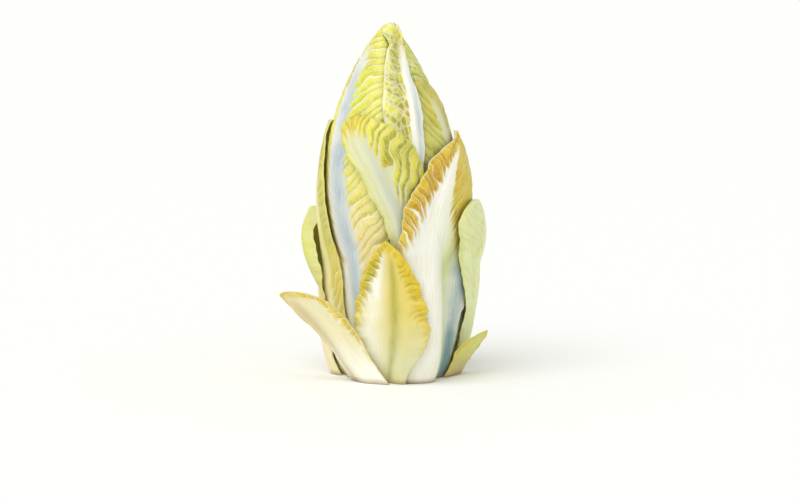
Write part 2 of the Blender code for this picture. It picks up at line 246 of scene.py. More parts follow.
# %% The dress of one leaf
class Dress(NamedTuple):
    """How one leaf is finished, with lengths in millimetres.

    A midrib is a width and the power it narrows with. The right veins are right_slope times as steep as the
    left. Shade is painted shade on the midrib, and tint is a band of the leaf's own colour. Both are soft
    bands along the leaf: a share, a place between the margins, -1 to 1, and a width.
    """

    left_rib: tuple = (6.0, 0.7)
    right_rib: tuple = (6.0, 0.7)
    vein_gap: float = 5.0
    vein_slope: float = 1.0
    right_slope: float = 1.0
    pucker: float = 0.4
    prong: float = 0.5
    rib: tuple = (WHITE, CREAM)
    blade: tuple = (LEMON, BUTTER)
    deep: tuple = OLIVE
    mottle: tuple = OLIVE
    edge: tuple = LIME
    edge_band: tuple = (0.5, 3.0)
    vein: float = 0.8
    net: float = 0.5
    deep_share: float = 0.7
    # shade and shade_paint: painted shade, a darker band on the midrib
    shade: tuple = (0.0, 0.0, 0.3)
    shade_paint: tuple = BLUE_GREY
    tint: tuple = (0.0, 0.0, 0.3)
    tint_paint: tuple = PEACH


# Every shade band below is painted shade: blue-grey, teal, moss or sand on the midrib where it lies in
# shadow.
DRESSES = {
    "heart": Dress(pucker=0.2),
    "inner_leaf_right": Dress(pucker=0.25),
    "inner_leaf_left": Dress(pucker=0.25),
    "inner_leaf_front": Dress(pucker=0.25),
    "tall_leaf_back": Dress(
        left_rib=(9, 0.7), right_rib=(9, 0.7), vein_gap=5.2, vein_slope=1.1, pucker=0.5, mottle=OCHRE,
        net=0.8, shade=(0.5, -0.12, 0.2)),
    "tall_leaf_back_right": Dress(
        left_rib=(6, 0.7), right_rib=(6, 0.7), vein_gap=5.2, vein_slope=1.2, blade=(LIME, BUTTER),
        edge=OLIVE, edge_band=(0.5, 4), net=0.8),
    "shoulder_leaf_right": Dress(
        left_rib=(5, 0.7), right_rib=(10, 0.7), vein_gap=7.5, vein_slope=2.0, pucker=0.22, rib=(STONE, SAGE),
        blade=(REED, STRAW), deep=MOSS, mottle=OCHRE, edge=OCHRE, edge_band=(0.5, 4), vein=0.4, net=0.3,
        deep_share=0.7, shade=(0.35, 0.3, 0.3)),
    "tall_leaf_left": Dress(
        left_rib=(18, 1.3), right_rib=(8, 0.7), vein_gap=4.8, vein_slope=1.2, pucker=0.55, prong=1.0,
        rib=(WHITE, WHITE), blade=(LEMON, PEACH), deep=OLIVE, mottle=LIME, edge=LIME, vein=1.0, net=0.3,
        deep_share=0.85, shade=(1.0, 0.06, 0.3), tint=(0.5, 0.44, 0.14)),
    "tall_leaf_front": Dress(
        left_rib=(2.4, 0.5), right_rib=(14, 0.5), vein_gap=7.0, vein_slope=1.3, pucker=0.5, prong=0.3,
        rib=(WHITE, WHITE), deep=OLIVE, mottle=BRONZE, edge=CREAM, edge_band=(0.8, 0.8), net=1.0,
        deep_share=1.15, shade=(0.8, 0.55, 0.35)),
    "middle_leaf_front": Dress(
        left_rib=(14, 0.6), right_rib=(13, 0.6), vein_gap=7.4, vein_slope=2.8, pucker=0.6, prong=2.4,
        rib=(STONE, STONE), blade=(LEMON, REED), deep=OCHRE, mottle=MOSS, edge=LIME, edge_band=(0.6, 3),
        vein=1.0, net=0.3, deep_share=1.3, shade=(0.5, 0.12, 0.16), tint=(0.4, 0.0, 0.1), tint_paint=WHITE),
    "back_leaf_left": Dress(
        left_rib=(9, 0.8), right_rib=(9, 0.8), vein_slope=1.4, mottle=OCHRE, edge=OCHRE, edge_band=(0.6, 4),
        net=0.6, prong=0.8, shade=(0.5, 0.12, 0.2)),
    "side_leaf_left": Dress(
        left_rib=(10, 0.6), right_rib=(12, 0.6), vein_slope=1.8, pucker=0.12, rib=(BUTTER, CREAM),
        blade=(REED, STRAW), deep=LIME, mottle=MOSS, edge=STRAW, edge_band=(0.5, 2), vein=0.2, net=0.1,
        deep_share=0.5, prong=1.2, shade=(0.4, 0.62, 0.12), shade_paint=MOSS),
    "back_leaf_right": Dress(
        left_rib=(12, 0.9), right_rib=(10, 0.9), vein_gap=4.8, vein_slope=1.8, deep=OCHRE, edge=OCHRE,
        edge_band=(0.8, 5), net=0.5, prong=1.2, deep_share=0.9, shade=(0.5, 0.15, 0.2)),
    "golden_leaf_right": Dress(
        left_rib=(45, 1.4), right_rib=(150, 3.1), vein_gap=5.0, vein_slope=3.0, right_slope=0.5, pucker=0.45,
        prong=0.9, rib=(WHITE, WHITE), blade=(GOLD, REED), deep=AMBER, mottle=LIME, edge=OCHRE,
        edge_band=(0.45, 5), vein=0.6, net=0.25, deep_share=1.2, shade=(1.4, 0.76, 0.24), shade_paint=TEAL,
        tint=(1.6, 0.34, 0.2), tint_paint=MINT),
    "outer_leaf_left": Dress(
        left_rib=(10, 0.8), right_rib=(10, 0.8), vein_slope=1.6, pucker=0.2, rib=(BUTTER, CREAM),
        blade=(REED, PEACH), deep=LIME, mottle=LIME, edge=PALE_GREEN, edge_band=(0.3, 3), vein=0.3, net=0.2,
        deep_share=0.3, tint=(0.7, 0.5, 0.4)),
    "outer_leaf_right": Dress(
        left_rib=(7, 0.8), right_rib=(7, 0.8), vein_gap=5.5, vein_slope=1.6, pucker=0.2,
        rib=(PALE_GREEN, PALE_GREEN), blade=(PALE_GREEN, PALE_GREEN), deep=LEAF_GREEN, edge=LIME,
        edge_band=(0.4, 2), vein=0.3, net=0.2, deep_share=0.4),
    "outer_leaf_back": Dress(
        left_rib=(12, 0.8), right_rib=(12, 0.8), vein_slope=1.6, pucker=0.35, blade=(GOLD, BUTTER),
        deep=OCHRE, edge=OCHRE, edge_band=(0.7, 4), net=0.4, prong=1.2),
    "short_leaf_front": Dress(
        left_rib=(34, 1.15), right_rib=(24, 1.05), vein_gap=4.8, vein_slope=1.5, pucker=0.55, prong=0.5,
        rib=(STRAW, STONE), blade=(GOLD, STRAW), deep=MOSS, mottle=OCHRE, edge=GOLD, edge_band=(0.6, 4),
        vein=1.0, net=0.3, deep_share=1.1, shade=(0.8, 0.16, 0.14), shade_paint=MOSS,
        tint=(1.3, -0.52, 0.34), tint_paint=WHITE),
    "splayed_leaf_left": Dress(
        left_rib=(16, 0.5), right_rib=(14, 0.5), vein_slope=2.0, pucker=0.1, rib=(IVORY, WHITE),
        blade=(STRAW, STRAW), deep=STRAW, edge=OCHRE, edge_band=(0.8, 3), net=0.1, deep_share=0.5,
        shade=(1.0, -0.5, 0.3), shade_paint=SAND),
    "splayed_leaf_right": Dress(
        left_rib=(6, 0.6), right_rib=(6, 0.6), vein_gap=3.0, vein_slope=2.0, pucker=0.1, rib=(REED, SAND),
        blade=(STRAW, REED), deep=OCHRE, edge=OCHRE, edge_band=(0.6, 2), net=0.1, deep_share=0.5),
    "splayed_leaf_back": Dress(
        left_rib=(8, 0.6), right_rib=(8, 0.6), vein_gap=3.5, vein_slope=2.0, pucker=0.1, rib=(CREAM, WHITE),
        blade=(STRAW, CREAM), deep=STRAW, edge=OCHRE, edge_band=(0.7, 3), net=0.1, deep_share=0.5),
}
print("dresses:", len(DRESSES))

# %% [markdown]
# ## Laying the leaves on one another
#
# Real leaves press on those below. We keep a map of the head that says, for each azimuth and height, how
# far out the leaves reach so far. Swelling the map a little and then smoothing it gives a taut surface, as
# a cloth lies over a step, and the middle of the next leaf lies on that. Its margins lie on a second,
# closer cloth, so they hug the leaves below. After each leaf the map is raised by it. That way twenty
# leaves fit tightly and never cut into one another.

# %% The map of the head
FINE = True
MAP_COLUMNS = 480 if FINE else 240
MAP_STEP = 0.0005 if FINE else 0.001
MAP_HEIGHT = 0.156
MAP_ROWS = round(MAP_HEIGHT / MAP_STEP)
STRIDE = 2 if FINE else 1
GAP = 0.0006


def map_places():
    """Azimuth and height of each cell of the map."""
    azimuth = np.arange(MAP_COLUMNS) * 360.0 / MAP_COLUMNS
    return np.meshgrid(azimuth, np.arange(MAP_ROWS) * MAP_STEP)


def read_map(head, azimuth, height):
    """The map between its cells: the four cells round a point, each by its nearness."""
    column = (azimuth * MAP_COLUMNS / 360.0) % MAP_COLUMNS
    row = np.clip(height / MAP_STEP, 0.0, MAP_ROWS - 1.001)
    left = np.floor(column).astype(int) % MAP_COLUMNS
    right = (left + 1) % MAP_COLUMNS
    lower = np.floor(row).astype(int)
    across = column - np.floor(column)
    up = row - lower
    near = head[lower, left] * (1.0 - across) + head[lower, right] * across
    far = head[lower + 1, left] * (1.0 - across) + head[lower + 1, right] * across
    return near * (1.0 - up) + far * up


def spread(values, merge):
    """Merge each cell with the two beside it, round the head and then up and down."""
    values = merge(np.roll(values, STRIDE, axis=1), values, np.roll(values, -STRIDE, axis=1))
    tall = np.pad(values, ((STRIDE, STRIDE), (0, 0)), mode="edge")
    return merge(tall[:-2 * STRIDE], tall[STRIDE:-STRIDE], tall[2 * STRIDE:])


def highest(before, here, after):
    """The largest of three."""
    return np.maximum(np.maximum(before, here), after)


def averaged(before, here, after):
    """The mean of three, the middle one counted twice."""
    return 0.25 * before + 0.5 * here + 0.25 * after


def laid_over(head, swellings, smoothings):
    """A cloth over the head: the map less the outline, swollen and smoothed some times, and put back."""
    outline = envelope(map_places()[1])
    proud = head - outline
    for _ in range(swellings):
        proud = spread(proud, highest)
    for _ in range(smoothings):
        proud = spread(proud, averaged)
    return np.maximum(proud + outline, head)


def cloths_over(head):
    """What the next leaf lies on: a taut cloth under its middle, and a close one under its margins."""
    taut = laid_over(head, swellings=5, smoothings=22)
    close = laid_over(head, swellings=1, smoothings=5)
    return taut, close


print("cells in the map:", MAP_COLUMNS * MAP_ROWS)

# %% [markdown]
# ## Veins, puckers and ruffles
#
# On the real leaf, side veins leave the midrib and climb to the margin. The blade bulges out between them,
# and the margin, which is longer than the leaf, falls into small waves. We number the veins with one field,
# the vein count: it grows by one from each vein to the next. Its sine gives the puckers here, and the
# materials draw the veins from the same numbers later, so that lines and relief always meet.


# %% The surface of one leaf
CROWN_FOOT = 0.1445
CROWN_CLOSED = 0.975
DEEPER_AT_FOOT = 0.045
LEAN_POWER = 2.2
HUGGING = 0.9
FLUTE_GAP = 1.9
FLUTE_HEIGHT = 0.00010


def wander(across, along, seed):
    """A slow unrest between -1 and 1: three sines of different lengths and directions."""
    first = np.sin(9.0 * along + 3.1 * across + seed)
    second = np.sin(17.0 * along - 5.3 * across + 2.0 * seed)
    return (first + 0.7 * second + 0.5 * np.sin(31.0 * along + 9.7 * across + 3.0 * seed)) / 2.2


def leaf_fields(leaf, across, along):
    """Distances on the leaf in mm, and the vein count: height less slope times distance, over the gap."""
    dress = DRESSES[leaf.name]
    side = np.where(across < 0.0, 1.0 + rib_place(leaf, along), 1.0 - rib_place(leaf, along))
    side_width = 1000.0 * half_width(leaf, along) * side
    from_rib = np.abs(across) * side_width
    left = dress.left_rib[0] * (1.0 - along) ** dress.left_rib[1]
    right = dress.right_rib[0] * (1.0 - along) ** dress.right_rib[1]
    rib_half = np.where(across < 0.0, left, right) + 0.6
    steep = dress.vein_slope * np.where(across < 0.0, 1.0, dress.right_slope)
    climb = steep * from_rib * (1.0 - 0.35 * np.abs(across))
    stagger = np.where(across < 0.0, 0.0, 0.5)
    count = (1000.0 * leaf.top * along - climb) / dress.vein_gap + stagger
    count = count + 0.6 * wander(across, along, leaf.base) + 0.2 * np.sin(2.3 * count + leaf.base)
    return {"from_rib": from_rib, "from_margin": side_width - from_rib, "rib_share": from_rib / rib_half,
            "vein_count": count, "along": along, "across": across}


def inner_radius(leaf, cloths, across, along, azimuth):
    """The inner face: on the taut cloth, drawn to the close one by the sixth power towards the margin and
    ruffled there by the fourth power. A splayed leaf leans out as well."""
    height = leaf.top * along
    margin = np.abs(across) ** 4 * smooth(along * 4.0)
    side = np.where(across < 0.0, 0.0, 1.9)
    beat = 2.0 * math.pi * leaf.waves * along * 1.3 + side + leaf.base
    ripple = 0.5 + 0.34 * np.sin(beat) + 0.16 * np.sin(2.6 * beat + 1.0)
    ruffled = margin * (leaf.lift + 2.0 * leaf.wave * ripple)
    spoon = (leaf.twist * across - leaf.cup * across ** 2) * half_width(leaf, along) / leaf.widest_half
    standing = leaf.lean * along ** LEAN_POWER + spoon * along
    outline = envelope(height) - leaf.depth - DEEPER_AT_FOOT * (1.0 - along) ** 2
    taut, close = cloths
    lowest = np.maximum(np.maximum(read_map(taut, azimuth, height) + GAP, outline), LEAST_RADIUS)
    pressed = np.maximum(read_map(close, azimuth, height) + GAP, LEAST_RADIUS)
    hugging = 0.0 if leaf.lean > 0.0 else HUGGING * np.abs(across) ** 6 * smooth(along * 4.0)
    return lowest + hugging * np.minimum(pressed - lowest, 0.0) + ruffled + np.maximum(standing, 0.0)


def crown(height):
    """How far the tip is drawn in: a quarter of an ellipse at the top of the head, from 1 down to 0.16."""
    climbed = np.clip((height - CROWN_FOOT) / (HEIGHT - CROWN_FOOT), 0.0, 1.0)
    return np.sqrt(1.0 - CROWN_CLOSED * climbed ** 2)


def thickness(leaf, across, along):
    """Blade, midrib and puckers: a thin margin, a bell over the rib and a sine along the vein count."""
    fields = leaf_fields(leaf, across, along)
    share = 0.22 + 0.50 * (1.0 - along) ** 2
    crest = leaf.rib * (1.0 - 0.85 * along) * np.exp(-(across / share) ** 2)
    blade = leaf.blade * 0.85 * (1.0 - 0.25 * along ** 4) * (1.0 - 0.5 * np.abs(across) ** 8)
    open_blade = smooth(fields["rib_share"] - 0.5) * smooth(fields["from_margin"] / 1.5)
    bulge = np.abs(np.sin(math.pi * fields["vein_count"])) ** 0.7
    flutes = 0.5 + 0.5 * np.cos(2.0 * math.pi * fields["from_rib"] / FLUTE_GAP)
    ridged = FLUTE_HEIGHT * flutes * (1.0 - smooth(fields["rib_share"] - 0.4)) * smooth(along * 8.0)
    return blade + crest + 0.001 * DRESSES[leaf.name].pucker * bulge * open_blade + ridged


# %% [markdown]
# ## From numbers to a closed skin
#
# A leaf is a slab: an inner face and an outer face on the same grid, joined by a rim. We work out both
# faces as whole arrays, lay the outer grid's edge against the inner grid's edge, and hand everything to the
# mesh. The fields travel with the corners as attributes, and a UV map holds the leaf laid flat, in
# centimetres.

# %% Build a skin
CELL = 0.00062 if FINE else 0.0015
CROWDING = 1.25
PAST_TIP = 1.01
PAST_MARGIN = 1.05


def skin_faces(rows, columns):
    """Corners of the faces: the outer grid, the inner grid turned round, and a rim along their edges."""
    width = columns + 1
    count = (rows + 1) * width
    row, column = np.meshgrid(np.arange(rows), np.arange(columns), indexing="ij")
    first = (row * width + column).ravel()
    outer = np.column_stack((first, first + 1, first + width + 1, first + width))
    loop = np.concatenate((np.arange(columns), columns + width * np.arange(rows),
                           rows * width + columns - np.arange(columns), width * (rows - np.arange(rows))))
    after = np.roll(loop, -1)
    rim = np.column_stack((after, loop, loop + count, after + count))
    return np.concatenate((outer, outer[:, ::-1] + count, rim))


def skin_mesh(name, points, faces, rounded, fields, flat):
    """A mesh from arrays, with a value of each field per corner and the flat leaf as UV map."""
    mesh = bpy.data.meshes.new(name)
    mesh.from_pydata(points.tolist(), [], faces)
    mesh.polygons.foreach_set("use_smooth", rounded)
    for key, values in fields.items():
        layer = mesh.attributes.new(key, "FLOAT", "POINT")
        layer.data.foreach_set("value", values.astype(np.float32))
    corners = np.empty(len(mesh.loops), dtype=np.int32)
    mesh.loops.foreach_get("vertex_index", corners)
    mesh.uv_layers.new(name="flat").data.foreach_set("uv", flat[corners].ravel().astype(np.float32))
    mesh.update()
    return mesh


def build_leaf(leaf, cloths):
    """One leaf as a skin: both faces at the same azimuths and heights, apart by the thickness."""
    rows = round(leaf.top / CELL)
    columns = round(1.9 * leaf.widest_half / CELL)
    along = 1.0 - (1.0 - np.arange(rows + 1) / rows) ** CROWDING
    across, along = np.meshgrid(np.linspace(-1.0, 1.0, columns + 1), along)
    middle, rib, half = turns(leaf, along)
    side = np.where(across < 0.0, rib - middle + half, middle + half - rib)
    azimuth = rib + across * side
    drawn_in = crown(leaf.top * along)
    inner = inner_radius(leaf, cloths, across, along, azimuth) * drawn_in
    outer = inner + thickness(leaf, across, along) * (0.4 + 0.6 * drawn_in)
    radius = np.concatenate((outer, inner)).ravel()
    turn = np.radians(np.concatenate((azimuth, azimuth))).ravel()
    height = np.concatenate((leaf.top * along, leaf.top * along)).ravel()
    points = np.column_stack((radius * np.sin(turn), -radius * np.cos(turn), height))
    fields = {key: np.tile(value.ravel(), 2) for key, value in leaf_fields(leaf, across, along).items()}
    flat = np.column_stack((fields["from_rib"] * np.sign(fields["across"]), 1000.0 * height)) / 10.0
    faces = skin_faces(rows, columns).tolist()
    return skin_mesh(leaf.name, points, faces, np.ones(len(faces), dtype=bool), fields, flat)


def raise_map(leaf, head, cloths):
    """The map with a leaf added: its outer face wherever the cell lies between its margins."""
    azimuth, height = map_places()
    covered = height <= leaf.top * PAST_TIP
    along = np.clip(height / leaf.top, 0.0, 1.0)
    middle, rib, half = turns(leaf, along)
    away = (azimuth - rib + 180.0) % 360.0 - 180.0
    across = np.where(away < 0.0, away / (rib - middle + half), away / (middle + half - rib))
    covered = covered & (np.abs(across) <= PAST_MARGIN)
    across = np.clip(across, -1.0, 1.0)
    outer = inner_radius(leaf, cloths, across, along, azimuth) + thickness(leaf, across, along)
    return np.where(covered, np.maximum(head, outer), head)


skins = {}
head_map = heart_room(map_places()[1])
for leaf in LEAVES:
    cloths = cloths_over(head_map)
    skins[leaf.name] = build_leaf(leaf, cloths)
    head_map = raise_map(leaf, head_map, cloths)
print("triangles in all leaves:", 2 * sum(len(mesh.polygons) for mesh in skins.values()))

# %% [markdown]
# ## The heart
#
# In the middle stands the stem, cut flat, with the small folded bud above it. It is turned like a vase: the
# profile goes round the axis in shallow pleats, and one corner closes it at the cut and one at the tip.

# %% Build the heart
HEART_TOP = 0.118
HEART_CLEARANCE = 0.0006
HEART_CROWDING = 1.3
PLEATS = 8.0
PLEAT_DEPTH = 0.04


def build_heart(rings, sides):
    """A turned solid: the radius left by the leaves, rounded off at the top, with eight pleats."""
    along = 1.0 - (1.0 - np.arange(rings) / rings) ** HEART_CROWDING
    height = HEART_TOP * along
    closing = (1.0 - along ** 3) ** 0.7
    radius = np.maximum(heart_room(height) - HEART_CLEARANCE, LEAST_RADIUS) * closing
    turn, radius_grid = np.meshgrid(np.arange(sides) * 2.0 * math.pi / sides, radius)
    height_grid = np.repeat(height[:, None], sides, axis=1)
    folds = 0.5 + 0.5 * np.sin(PLEATS * turn + 60.0 * height_grid)
    pleats = 1.0 - PLEAT_DEPTH * folds * smooth(height_grid / 0.02)
    ring = np.column_stack(((radius_grid * pleats * np.cos(turn)).ravel(),
                            (radius_grid * pleats * np.sin(turn)).ravel(), height_grid.ravel()))
    points = np.concatenate((ring, ((0.0, 0.0, 0.0), (0.0, 0.0, HEART_TOP))))
    row, column = np.meshgrid(np.arange(rings - 1), np.arange(sides), indexing="ij")
    here = (row * sides + column).ravel()
    beside = (row * sides + (column + 1) % sides).ravel()
    side_faces = np.column_stack((here, beside, beside + sides, here + sides))
    start = np.arange(sides)
    cut = np.column_stack(((start + 1) % sides, start, np.full(sides, rings * sides)))
    last = (rings - 1) * sides
    tip = np.column_stack((last + start, last + (start + 1) % sides, np.full(sides, rings * sides + 1)))
    faces = side_faces.tolist() + cut.tolist() + tip.tolist()
    rounded = np.arange(len(faces)) < len(side_faces)
    share = np.clip(points[:, 2] / HEART_TOP, 0.0, 1.0)
    zero = np.zeros(len(points))
    fields = {"from_rib": zero + 3.0, "from_margin": zero + 9.0, "rib_share": 0.4 + share,
              "vein_count": points[:, 2] / 0.005, "along": share, "across": zero}
    flat = np.column_stack((np.arctan2(points[:, 1], points[:, 0]), 100.0 * points[:, 2]))
    return skin_mesh("heart", points, faces, rounded, fields, flat)


skins["heart"] = build_heart(rings=90 if FINE else 40, sides=120 if FINE else 60)
print("heart corners:", len(skins["heart"].vertices))

# %% [markdown]
# ## The flesh of a forced leaf
#
# All the leaves are made of the same stuff, so one node group draws it and each leaf gives it its own
# colours. From the midrib outwards the colour goes from white to the colour of the blade. Between two veins
# the blade is deeper, on the veins it is pale, and a fine net joins them. The margin takes the colour of
# the edge. The group gives out a colour, a roughness and a relief, and the shader itself stays in each
# leaf's material.


# %% Small helpers for node trees
def add_node(tree, kind, **settings):
    """A node with its settings."""
    node = tree.nodes.new(kind)
    for key, value in settings.items():
        setattr(node, key, value)
    return node


def plug(tree, source, socket):
    """Join a socket to another, or set it when the source is a plain value."""
    if isinstance(source, bpy.types.NodeSocket):
        tree.links.new(source, socket)
    else:
        socket.default_value = source


def calc(tree, operation, *values):
    """The result of one sum, product or other calculation."""
    node = add_node(tree, "ShaderNodeMath", operation=operation)
    for socket, value in zip(node.inputs, values):
        plug(tree, value, socket)
    return node.outputs[0]


def fade(tree, value, low, high, start=0.0, end=1.0):
    """Eased from start to end while the value goes from low to high."""
    node = add_node(tree, "ShaderNodeMapRange", interpolation_type="SMOOTHSTEP", clamp=True)
    for socket, source in zip(node.inputs, (value, low, high, start, end)):
        plug(tree, source, socket)
    return node.outputs[0]


def blend(tree, share, first, second):
    """The first colour at share 0 and the second at share 1."""
    node = add_node(tree, "ShaderNodeMix", data_type="RGBA", clamp_factor=True)
    plug(tree, share, node.inputs[0])
    plug(tree, first, node.inputs[6])
    plug(tree, second, node.inputs[7])
    return node.outputs[2]


def field(tree, name):
    """A value that travels with the corners of the leaf."""
    node = add_node(tree, "ShaderNodeAttribute", attribute_type="GEOMETRY", attribute_name=name)
    return node.outputs["Fac"]


def clouds(tree, vector, scale, detail=2.0):
    """A soft noise round one half."""
    node = add_node(tree, "ShaderNodeTexNoise")
    plug(tree, vector, node.inputs["Vector"])
    node.inputs["Scale"].default_value = scale
    node.inputs["Detail"].default_value = detail
    return node.outputs["Fac"]


def stretched(tree, vector, factors):
    """A vector with each of its parts multiplied by a factor."""
    node = add_node(tree, "ShaderNodeVectorMath", operation="MULTIPLY")
    plug(tree, vector, node.inputs[0])
    node.inputs[1].default_value = factors
    return node.outputs[0]


# %% The flesh group
# The Shade colour and Shade Share, Place and Width draw painted shade on the midrib.
COLOUR_INPUTS = ("Rib Tip", "Rib Foot", "Blade Tip", "Blade Foot", "Deep", "Mottle", "Edge", "Shade", "Tint")
VALUE_INPUTS = ("Edge Share", "Edge Width", "Vein", "Net", "Deep Share", "Prong", "Shade Share",
                "Shade Place", "Shade Width", "Tint Share", "Tint Place", "Tint Width")


def band(tree, across, given, kind):
    """A soft band along the leaf: its share times a bell over the distance from its place."""
    away = calc(tree, "SUBTRACT", across, given[kind + " Place"])
    away = calc(tree, "DIVIDE", away, given[kind + " Width"])
    bell = calc(tree, "EXPONENT", calc(tree, "MULTIPLY", calc(tree, "MULTIPLY", away, away), -1.0))
    return calc(tree, "MULTIPLY", bell, given[kind + " Share"])


def read_spot(group):
    """What the colours follow: the place on the leaf, the place between two veins, and noises."""
    place = add_node(group, "ShaderNodeTexCoord").outputs["Object"]
    flat = add_node(group, "ShaderNodeUVMap", uv_map="flat").outputs[0]
    unrest = calc(group, "SUBTRACT", clouds(group, place, 110.0, 3.0), 0.5)
    saw = calc(group, "FRACT", calc(group, "ADD", field(group, "vein_count"), unrest))
    off_middle = calc(group, "ABSOLUTE", calc(group, "SUBTRACT", saw, 0.5))
    return SimpleNamespace(
        place=place, flat=flat, unrest=unrest, saw=saw,
        near_vein=calc(group, "MULTIPLY", off_middle, 2.0),
        along=field(group, "along"), across=field(group, "across"),
        rib_share=field(group, "rib_share"), from_margin=field(group, "from_margin"),
        broad=clouds(group, place, 45.0),
        streaks=clouds(group, stretched(group, flat, (14.0, 0.9, 1.0)), 1.0, 3.0),
        fine_streaks=clouds(group, stretched(group, flat, (42.0, 1.6, 1.0)), 1.0))


def draw_lines(group, given, spot):
    """The pale lines: veins, a short branch between two veins near the margin, and the fine net."""
    vein = fade(group, spot.near_vein, 0.80, 0.97)
    branch = calc(group, "MULTIPLY", fade(group, spot.near_vein, 0.02, 0.12, 1.0, 0.0),
                  fade(group, calc(group, "ABSOLUTE", spot.across), 0.45, 0.75, 0.0, 0.75))
    cells = add_node(group, "ShaderNodeTexVoronoi", feature="DISTANCE_TO_EDGE")
    plug(group, stretched(group, spot.flat, (3.6, 3.0, 1.0)), cells.inputs["Vector"])
    cells.inputs["Scale"].default_value = 1.0
    seams = fade(group, cells.outputs["Distance"], 0.02, 0.14, 1.0, 0.0)
    net = calc(group, "MULTIPLY", calc(group, "MULTIPLY", seams, given["Net"]), 0.75)
    return calc(group, "MAXIMUM", calc(group, "MAXIMUM", vein, branch), net)


def blade_share(group, given, spot):
    """How far a spot belongs to the blade: past the frayed midrib, which sends prongs along the veins."""
    reach = calc(group, "MULTIPLY", calc(group, "POWER", spot.near_vein, 4.0), given["Prong"])
    frayed = calc(group, "ADD", spot.rib_share, calc(group, "MULTIPLY", spot.unrest, 0.9))
    ribbed = calc(group, "SUBTRACT", frayed, reach)
    return calc(group, "MAXIMUM", fade(group, ribbed, 0.75, 1.35), fade(group, spot.along, 0.9, 0.96))


def pocket_share(group, given, spot):
    """How deep the colour is between two veins: deepest above a vein, streaked, weaker at the foot."""
    pocket = fade(group, spot.saw, 0.05, 0.75, 1.0, 0.2)
    pocket = calc(group, "MULTIPLY", pocket, fade(group, spot.streaks, 0.3, 0.6, 0.35, 1.0))
    pocket = calc(group, "ADD", pocket, fade(group, spot.broad, 0.4, 0.65, -0.15, 0.4))
    pocket = calc(group, "MULTIPLY", pocket, given["Deep Share"])
    return calc(group, "MULTIPLY", pocket, fade(group, spot.along, 0.25, 0.65, 0.45, 1.0))


def blade_colour(group, given, spot, lines, pale):
    """The blade: warm patches, mottled pockets, a rim above each vein, and the pale lines."""
    blade = blend(group, fade(group, spot.along, 0.3, 0.75), given["Blade Foot"], given["Blade Tip"])
    warm = fade(group, clouds(group, spot.place, 70.0), 0.45, 0.7, 0.0, 0.35)
    blade = blend(group, warm, blade, GOLD)
    mottled = calc(group, "ADD", clouds(group, spot.place, 85.0), calc(group, "MULTIPLY", spot.across, 0.26))
    deep = blend(group, fade(group, mottled, 0.46, 0.62, 0.0, 0.9), given["Deep"], given["Mottle"])
    blade = blend(group, pocket_share(group, given, spot), blade, deep)
    rim = calc(group, "MULTIPLY", fade(group, spot.saw, 0.05, 0.13), given["Deep Share"])
    rim = calc(group, "MULTIPLY", rim, fade(group, spot.saw, 0.14, 0.32, 0.5, 0.0))
    blade = blend(group, rim, blade, blend(group, 0.35, deep, given["Edge"]))
    return blend(group, calc(group, "MULTIPLY", lines, given["Vein"]), blade, pale)


def rib_colour(group, given, spot):
    """The midrib: streaked with the colour of the blade, with a patchy band of tint and one of painted
    shade.
    """
    rib = blend(group, fade(group, spot.along, 0.1, 0.6), given["Rib Foot"], given["Rib Tip"])
    rib = blend(group, fade(group, spot.streaks, 0.45, 0.75, 0.0, 0.4), rib, given["Blade Foot"])
    patchy = calc(group, "MULTIPLY", fade(group, spot.fine_streaks, 0.3, 0.7, 0.6, 1.0),
                  fade(group, spot.broad, 0.35, 0.6, 0.55, 1.0))
    tint = calc(group, "MULTIPLY", band(group, spot.across, given, "Tint"), patchy)
    rib = blend(group, tint, rib, given["Tint"])
    # painted shade: a darker band on the midrib, weaker towards the tip
    shade = calc(group, "MULTIPLY", band(group, spot.across, given, "Shade"), patchy)
    shade = calc(group, "MULTIPLY", shade, fade(group, spot.along, 0.75, 1.0, 1.0, 0.2))
    return blend(group, shade, rib, given["Shade"])


def edged(group, given, spot, lines, pale, colour):
    """A colour with the margin laid over it: a wavering band, and a pale thread along the very edge."""
    wavering = calc(group, "ADD", spot.from_margin, calc(group, "MULTIPLY", spot.unrest, 4.0))
    edge = fade(group, wavering, 0.0, given["Edge Width"], 1.0, 0.0)
    edge = calc(group, "MULTIPLY", edge, given["Edge Share"])
    edge = calc(group, "MULTIPLY", edge, fade(group, spot.along, 0.15, 0.6))
    edge = calc(group, "MULTIPLY", edge, fade(group, lines, 0.3, 1.0, 1.0, 0.3))
    colour = blend(group, edge, colour, given["Edge"])
    thread = calc(group, "ADD", spot.from_margin, spot.unrest)
    return blend(group, fade(group, thread, 0.1, 0.55, 0.6, 0.0), colour, pale)


def browned(group, spot, colour):
    """A colour with the brown of the cut laid over the lowest two and a half millimetres."""
    parts = add_node(group, "ShaderNodeSeparateXYZ")
    plug(group, spot.place, parts.inputs[0])
    ragged = calc(group, "ADD", parts.outputs["Z"], calc(group, "MULTIPLY", spot.unrest, 0.0012))
    return blend(group, fade(group, ragged, 0.0004, 0.0026, 0.55, 0.0), colour, CUT_BROWN)


def relief(group, spot, lines, bladed):
    """The fine relief: raised lines on the blade, fine streaks, and a faint grain."""
    raised = calc(group, "MULTIPLY", lines, calc(group, "MULTIPLY", bladed, 0.5))
    raised = calc(group, "ADD", raised, calc(group, "MULTIPLY", spot.fine_streaks, 0.35))
    return calc(group, "ADD", raised, calc(group, "MULTIPLY", clouds(group, spot.place, 900.0), 0.18))


